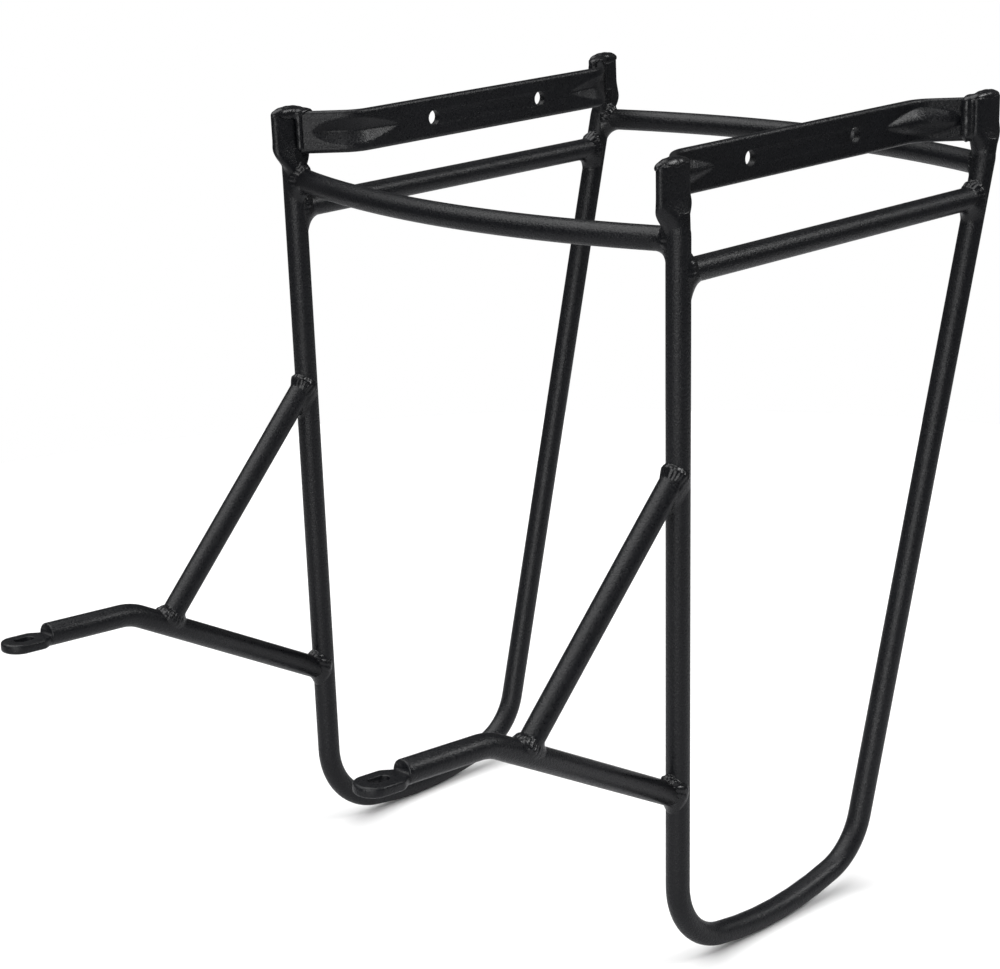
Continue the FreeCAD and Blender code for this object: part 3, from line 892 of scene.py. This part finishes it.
def weld_field(build, given, place):
    """Distance to the weld's surface: negative inside the metal."""
    to_main, to_branch, way, facing = tube_distances(build, given, place)
    under, lump, ripple = weld_ripples(build, given, place, way)
    seam = build.math("SQRT", build.math("ADD", build.math("MULTIPLY", to_main, to_main),
                                         build.math("MULTIPLY", to_branch, to_branch)))
    crest = build.ramp(build.dot(way, given["Down"]), *CREST_LIMITS)
    bead = build.math("MULTIPLY", given["Bead"], crest)
    bead = build.math("ADD", bead, build.math("MULTIPLY_ADD", lump, LUMP_HEIGHT, ripple))
    front_share = build.math("MULTIPLY_ADD", facing, 1 - BACK_BEAD, BACK_BEAD)
    to_bead = build.math("SUBTRACT", seam, build.math("MULTIPLY", bead, front_share))
    under_share = build.math("MULTIPLY_ADD", under, 1 - UPPER_WEB, UPPER_WEB)
    web = build.math("MULTIPLY", build.math("MULTIPLY", given["Web"], under_share), facing)
    tubes = build.math("ADD", build.math("SMOOTH_MIN", to_main, to_branch, web),
                       build.math("MULTIPLY_ADD", seam, SINK_SLOPE, SINK_DEPTH))
    weld = build.math("SMOOTH_MIN", tubes, to_bead, JOIN_SOFTNESS)
    return build.math("MAXIMUM", weld, build.math("SUBTRACT", seam, WELD_REACH * MM))


print("a weld reaches", WELD_REACH, "mm from its seam")

# %% [markdown]
# ## From a field to a skin
# The distance becomes the density of a block of space, and a mesh is laid where the density crosses
# a threshold. The tree ends in Realize Instances and Set Material.

# %% Geometry Nodes tree for one weld
DENSITY_SLOPE = -1000.0
DENSITY_LEVEL = 1.0


def weld_tree():
    """The weld of a branch tube on a main tube, as one skin."""
    build = FieldTree("weld")
    tree = build.tree
    for name, kind in WELD_INPUTS:
        tree.interface.new_socket(name, in_out="INPUT", socket_type=kind)
    tree.interface.new_socket("Geometry", in_out="OUTPUT", socket_type="NodeSocketGeometry")
    given = build.nodes.new("NodeGroupInput").outputs
    place = build.nodes.new("GeometryNodeInputPosition").outputs[0]
    weld = weld_field(build, given, place)
    density = build.math("MULTIPLY_ADD", weld, DENSITY_SLOPE, DENSITY_LEVEL)
    block = build.nodes.new("GeometryNodeVolumeCube")
    tree.links.new(density, block.inputs["Density"])
    tree.links.new(given["Low Corner"], block.inputs["Min"])
    tree.links.new(given["High Corner"], block.inputs["Max"])
    for axis in "XYZ":
        tree.links.new(given["Resolution"], block.inputs[f"Resolution {axis}"])
    surface = build.nodes.new("GeometryNodeVolumeToMesh")
    surface.inputs["Threshold"].default_value = DENSITY_LEVEL
    soft = build.nodes.new("GeometryNodeSetShadeSmooth")
    real = build.nodes.new("GeometryNodeRealizeInstances")
    paint = build.nodes.new("GeometryNodeSetMaterial")
    out = build.nodes.new("NodeGroupOutput")
    chain = (block, surface, soft, real, paint, out)
    for before, after in zip(chain, chain[1:]):
        tree.links.new(before.outputs[0], after.inputs[0])
    tree.links.new(given["Material"], paint.inputs["Material"])
    return tree


WELD = weld_tree()
print("weld tree nodes:", len(WELD.nodes))

# %% [markdown]
# ## One weld on two tubes
# Each weld is the tree with its own two tubes, on a small empty host object. The block of space
# sits round the seam, a little way along the branch.

# %% One tube weld
DOWN = Vector((0, 0, -1))
BLOCK_HALF = 19.0
BLOCK_SHIFT = 8
BLOCK_RESOLUTION = 96
RIPPLE_HEIGHT = 0.7


def tube_weld(node, main_origin, main, branch_origin, branch, down, seed,
              bead=2.2, web=10.0, start=3.5):
    """One weld, replacing its CAD node. Bead, web and the branch's start are in millimetres."""
    host = add_object(f"{node}_bead", bpy.data.meshes.new(node))
    centre = branch_origin + branch * BLOCK_SHIFT
    corner = Vector((BLOCK_HALF, BLOCK_HALF, BLOCK_HALF))
    values = {
        "Main Origin": main_origin * MM, "Main Axis": main,
        "Branch Origin": branch_origin * MM, "Branch Axis": branch,
        "Ripple Axis": branch.cross(main).normalized(), "Down": down,
        "Low Corner": (centre - corner) * MM, "High Corner": (centre + corner) * MM,
        "Branch Start": start * MM, "Tube Radius": TUBE_RADIUS * MM, "Bead": bead * MM,
        "Web": web * MM, "Ripple": RIPPLE_HEIGHT * MM, "Seed": float(seed),
        "Resolution": BLOCK_RESOLUTION, "Material": WELD_COAT,
    }
    modifier = host.modifiers.new("weld", "NODES")
    modifier.node_group = WELD
    for item in WELD.interface.items_tree:
        if item.in_out == "INPUT":
            modifier[item.identifier] = values[item.name]
    bake_modifiers(host)
    outwards(host.data)
    finish_piece(host, node, WELD_COAT)


print("a weld's block is", 2 * BLOCK_HALF, "mm wide")

# %% [markdown]
# ## Where two tubes meet
# The side of a weld that sags points down, or back towards the leg at a brace's foot, where the
# welder closed the wider angle. The bowed tubes' axes pass a few millimetres beside the legs', so
# their welds start further out.

# %% Place the tube welds
RAIL_DROP = 40.0
BRACE_DROP = 134.6
BRACE_HEADING = 180 + 46.2
BRACE_LENGTH = 153.3
REARWARDS = Vector((0, 1, 0))
ARC_WEB = 13
ARC_START = 6.5
# Place, drop, y of the arc's end, half turn, way along Y from there, and the leg's y and heading.
ARC_WELDS = (
    ("front", 25.0, 4.4, 20.45, -1, front_leg_y(-25.0), 90 - RAKE),
    ("rear", 24.3, 237.95, 20.13, 1, rear_leg_y(-24.3), REAR_UP),
)


def axis_in_side(side, heading):
    """Unit vector of a heading in a side frame."""
    ahead = side_point(side, 0, *step(0, 0, heading, 1))
    return (ahead - side_point(side, 0, 0, 0)).normalized()


def arc_welds(word, side, seed):
    """The two welds of the bowed tubes on one side."""
    for place, drop, end_y, half_turn, sign, leg_y, heading in ARC_WELDS:
        origin = Vector((side * HALF_WIDTH, FRONT_LEG_Y + end_y, BOLT_LEVEL - drop))
        turn = math.radians(half_turn)
        way = Vector((-side * math.cos(turn), sign * math.sin(turn), 0))
        leg = side_point(side, 0, leg_y, -drop)
        tube_weld(f"{word}_{place}_arc_weld", leg, axis_in_side(side, heading), origin, way, DOWN,
                  seed + 7 + sign, web=ARC_WEB, start=ARC_START)


def side_welds(word, side, seed):
    """The tube welds of one side."""
    leg_up = axis_in_side(side, 90 - RAKE)
    front = side_point(side, 0, front_leg_y(-RAIL_DROP), -RAIL_DROP)
    tube_weld(f"{word}_front_rail_weld", front, leg_up, front, axis_in_side(side, 0), DOWN,
              seed + 1, web=17)
    rear = side_point(side, 0, rear_leg_y(-RAIL_DROP), -RAIL_DROP)
    tube_weld(f"{word}_rear_rail_weld", rear, axis_in_side(side, REAR_UP), rear,
              axis_in_side(side, 180), DOWN, seed + 2, web=15)
    strut = side_point(side, 0, front_leg_y(-STRUT_DROP), -STRUT_DROP)
    strut_way = axis_in_side(side, STRUT_HEADING)
    tube_weld(f"{word}_strut_weld", strut, leg_up, strut, strut_way, DOWN, seed + 3)
    top_y = front_leg_y(-BRACE_DROP)
    top = side_point(side, 0, top_y, -BRACE_DROP)
    brace_way = axis_in_side(side, BRACE_HEADING)
    tube_weld(f"{word}_brace_top_weld", top, leg_up, top, brace_way, DOWN, seed + 4, bead=2.0)
    foot = side_point(side, 0, *step(top_y, -BRACE_DROP, BRACE_HEADING, BRACE_LENGTH))
    tube_weld(f"{word}_brace_foot_weld", foot, strut_way, foot, -brace_way, REARWARDS,
              seed + 5, bead=2.6)
    arc_welds(word, side, seed)


side_welds("left", -1, 10)
side_welds("right", 1, 20)

# %% [markdown]
# ## Fillers for the plate welds
# The plates are welded to the flattened leg tops along three edges. Powder bridges the gaps, so the
# beads read as one soft mass. Upright rods of filler in the corner behind each plate's end stand
# for the metal that closes it.

# %% Fillers for the plate welds
FILLER_RADIUS = 3.2
FILLER_POINTS = 24
FILLER_PLACES = ((2.8, 9.2), (4.7, 11.2))    # inboard, and from the leg along the plate
# Level and size of each ring of a rod.
FILLER_RINGS = ((-12.0, 0.2), (-10.0, 0.6), (-8.0, 0.88), (-6.0, 1.0),
                (8.6, 1.0), (9.8, 0.75), (10.6, 0.3))


def filler(side, inboard, y):
    """An upright rod of weld metal in the corner between plate and leg."""
    rings = []
    for z, shrink in FILLER_RINGS:
        reach = FILLER_RADIUS * shrink
        ring = []
        for k in range(FILLER_POINTS):
            angle = 2 * math.pi * k / FILLER_POINTS
            ring.append(side_point(side, -inboard + reach * math.cos(angle),
                                   y + reach * math.sin(angle), z))
        rings.append(ring)
    return skin("filler", rings)


def cad_mesh(name):
    """A copy of a CAD node's mesh, in the part's frame."""
    source = cad_object(name)
    mesh = source.data.copy()
    mesh.transform(source.matrix_world)
    return mesh


print("filler rods in each corner:", len(FILLER_PLACES))

# %% [markdown]
# ## Plate welds
# A voxel remesh melts the CAD beads and the fillers into one skin, rounds of smoothing soften it,
# and two slow waves, with a fixed seed for each weld, keep it from looking machined.

# %% Soften the plate welds
VOXEL_SIZE = 0.35
SMOOTHING_FACTOR = 0.5
SMOOTHING_ROUNDS = 40
WAVE_HEIGHT = 0.1
UPRIGHT_WAVES = 0.9
LENGTHWISE_WAVES = 1.3
LENGTHWISE_SHARE = 0.7


def melted(name, side, flat_y, towards):
    """The CAD beads and the fillers as one smoothed skin."""
    work = bmesh.new()
    work.from_mesh(cad_mesh(name))
    for inboard, reach in FILLER_PLACES:
        work.from_mesh(filler(side, inboard, flat_y + towards * reach))
    mesh = bpy.data.meshes.new(name)
    work.to_mesh(mesh)
    work.free()
    piece = add_object(f"{name}_bead", mesh)
    remesh = piece.modifiers.new("remesh", "REMESH")
    remesh.mode = "VOXEL"
    remesh.voxel_size = VOXEL_SIZE * MM
    soft = piece.modifiers.new("soft", "SMOOTH")
    soft.factor = SMOOTHING_FACTOR
    soft.iterations = SMOOTHING_ROUNDS
    bake_modifiers(piece)
    return piece


def make_waves(mesh, seed):
    """Push the skin in and out in two slow waves."""
    rand = random.Random(seed)
    phase = [rand.uniform(0, 6) for _ in range(2)]
    work = bmesh.new()
    work.from_mesh(mesh)
    work.normal_update()
    for vert in work.verts:
        upright = math.sin(vert.co.z / MM * UPRIGHT_WAVES + phase[0])
        lengthwise = math.sin(vert.co.y / MM * LENGTHWISE_WAVES + phase[1])
        wave = upright + LENGTHWISE_SHARE * lengthwise
        vert.co += vert.normal * wave * WAVE_HEIGHT * MM
    work.to_mesh(mesh)
    work.free()


def plate_weld(word, side, place, flat_y, towards, seed):
    """One plate weld, replacing its CAD node."""
    name = f"{word}_{place}_plate_weld"
    piece = melted(name, side, flat_y, towards)
    make_waves(piece.data, seed)
    outwards(piece.data)
    finish_piece(piece, name, WELD_COAT)


for side_word, side_sign in SIDES:
    plate_weld(side_word, side_sign, "front", FRONT_FLAT_Y, 1, 31 + side_sign)
    plate_weld(side_word, side_sign, "rear", REAR_FLAT_Y, -1, 41 + side_sign)

# %% [markdown]
# ## Camera
# The camera stands to the front and right of the rack, a little above it, and looks slightly down.
# Its axes are worked out from three angles, so that the view can be set by azimuth, pitch and roll.

# %% Camera
CAMERA_PLACE = Vector((918.5, -901.95, 612.8))
CAMERA_VIEW = (46.106, 16.888, -2.005)
LENS = 93.3


def look(azimuth, pitch, roll):
    """Camera axes: right, up and backwards, from the view's azimuth, pitch down and roll."""
    a, p, r = (math.radians(v) for v in (azimuth, pitch, roll))
    forward = Vector((-math.sin(a) * math.cos(p), math.cos(a) * math.cos(p), -math.sin(p)))
    right = Vector((math.cos(a), math.sin(a), 0))
    up = right.cross(forward)
    level = right * math.cos(r) + up * math.sin(r)
    return level, up * math.cos(r) - right * math.sin(r), -forward


camera_data = bpy.data.cameras.new("camera")
camera_data.sensor_width = 36
camera_data.lens = LENS
camera_data.clip_start = 0.05
camera = bpy.data.objects.new("camera", camera_data)
camera_axes = Matrix(look(*CAMERA_VIEW)).transposed().to_4x4()
camera.matrix_world = Matrix.Translation(CAMERA_PLACE * MM) @ camera_axes
bpy.context.scene.collection.objects.link(camera)
bpy.context.scene.camera = camera
print("camera lens:", LENS)

# %% [markdown]
# ## Surround
# The surround is white to the camera but has only a tenth of that strength for everything else. A
# fully white surround would light the black tubes from all sides and turn them grey. This split is
# a studio trick, and it holds for this scene only: the rack looks lighter in plain white
# surroundings.

# %% Surround
SURROUND_GLOW = 0.1

world = bpy.data.worlds.new("studio")
world.use_nodes = True
backdrop = world.node_tree.nodes["Background"]
backdrop.inputs["Color"].default_value = (1, 1, 1, 1)
seen = world.node_tree.nodes.new("ShaderNodeLightPath")
glow = world.node_tree.nodes.new("ShaderNodeMapRange")
glow.inputs["To Min"].default_value = SURROUND_GLOW
glow.inputs["To Max"].default_value = 1.0
world.node_tree.links.new(seen.outputs["Is Camera Ray"], glow.inputs["Value"])
world.node_tree.links.new(glow.outputs["Result"], backdrop.inputs["Strength"])
bpy.context.scene.world = world
print("surround strength away from the camera:", SURROUND_GLOW)

# %% [markdown]
# ## Floor
# The floor is a pale disc, only as wide as the rack needs. To reflections it is half as bright,
# for the same reason as the surround: it keeps the undersides of the tubes dark.

# %% Floor
FLOOR_RADIUS = 0.95
FLOOR_POINTS = 120
FLOOR_TONE = (0.9, 0.9, 0.9, 1)
REFLECTED_TONE = (0.45, 0.45, 0.46, 1)

floor_rim = []
for k in range(FLOOR_POINTS):
    rim_angle = math.radians(360 / FLOOR_POINTS * k)
    floor_rim.append((FLOOR_RADIUS * math.cos(rim_angle), FLOOR_RADIUS * math.sin(rim_angle), 0))
floor_mesh = bpy.data.meshes.new("floor")
floor_mesh.from_pydata(floor_rim, [], [tuple(range(FLOOR_POINTS))])
floor = add_object("floor", floor_mesh)
floor_material = bpy.data.materials.new("floor")
floor_material.use_nodes = True
floor_nodes = floor_material.node_tree.nodes
floor_shader = floor_nodes["Principled BSDF"]
floor_shader.inputs["Roughness"].default_value = 0.8
ray_kind = floor_nodes.new("ShaderNodeLightPath")
floor_tone = floor_nodes.new("ShaderNodeMix")
floor_tone.data_type = "RGBA"
floor_tone.inputs["A"].default_value = FLOOR_TONE
floor_tone.inputs["B"].default_value = REFLECTED_TONE
floor_links = floor_material.node_tree.links
floor_links.new(ray_kind.outputs["Is Glossy Ray"], floor_tone.inputs["Factor"])
floor_links.new(floor_tone.outputs["Result"], floor_shader.inputs["Base Color"])
floor.data.materials.append(floor_material)
print("floor radius:", FLOOR_RADIUS)

# %% [markdown]
# ## Lamps
# A broad overhead sun gives the even light of a tent. A lamp high at the back and right and a large
# one low at the front draw the soft highlights along the tubes.

# %% Lamps
# Name, place, target, width, height and watts.
LAMPS = (
    ("high right", (1.45, 1.3, 1.75), (0, 0.1, 0.35), 0.9, 0.7, 26),
    ("front", (0.95, -1.6, 0.5), (0, 0, 0.25), 1.3, 1.0, 18),
)
SUN_STRENGTH = 3.7
SUN_SPREAD = math.radians(75)
SUN_TURN = (math.radians(14), math.radians(-12), 0)


def soft_lamp(name, place, target, width, height, watts):
    """A rectangular area lamp, aimed at a target."""
    lamp = bpy.data.lights.new(name, "AREA")
    lamp.shape = "RECTANGLE"
    lamp.size = width
    lamp.size_y = height
    lamp.energy = watts
    lamp_object = bpy.data.objects.new(name, lamp)
    aim = (Vector(target) - Vector(place)).to_track_quat("-Z", "Y").to_matrix().to_4x4()
    lamp_object.matrix_world = Matrix.Translation(place) @ aim
    bpy.context.scene.collection.objects.link(lamp_object)


for lamp_row in LAMPS:
    soft_lamp(*lamp_row)
sun = bpy.data.lights.new("overhead", "SUN")
sun.energy = SUN_STRENGTH
sun.angle = SUN_SPREAD
overhead = bpy.data.objects.new("overhead", sun)
overhead.rotation_euler = SUN_TURN
bpy.context.scene.collection.objects.link(overhead)
bpy.context.scene.view_settings.view_transform = "Standard"
print("lamps:", len(LAMPS) + 1)
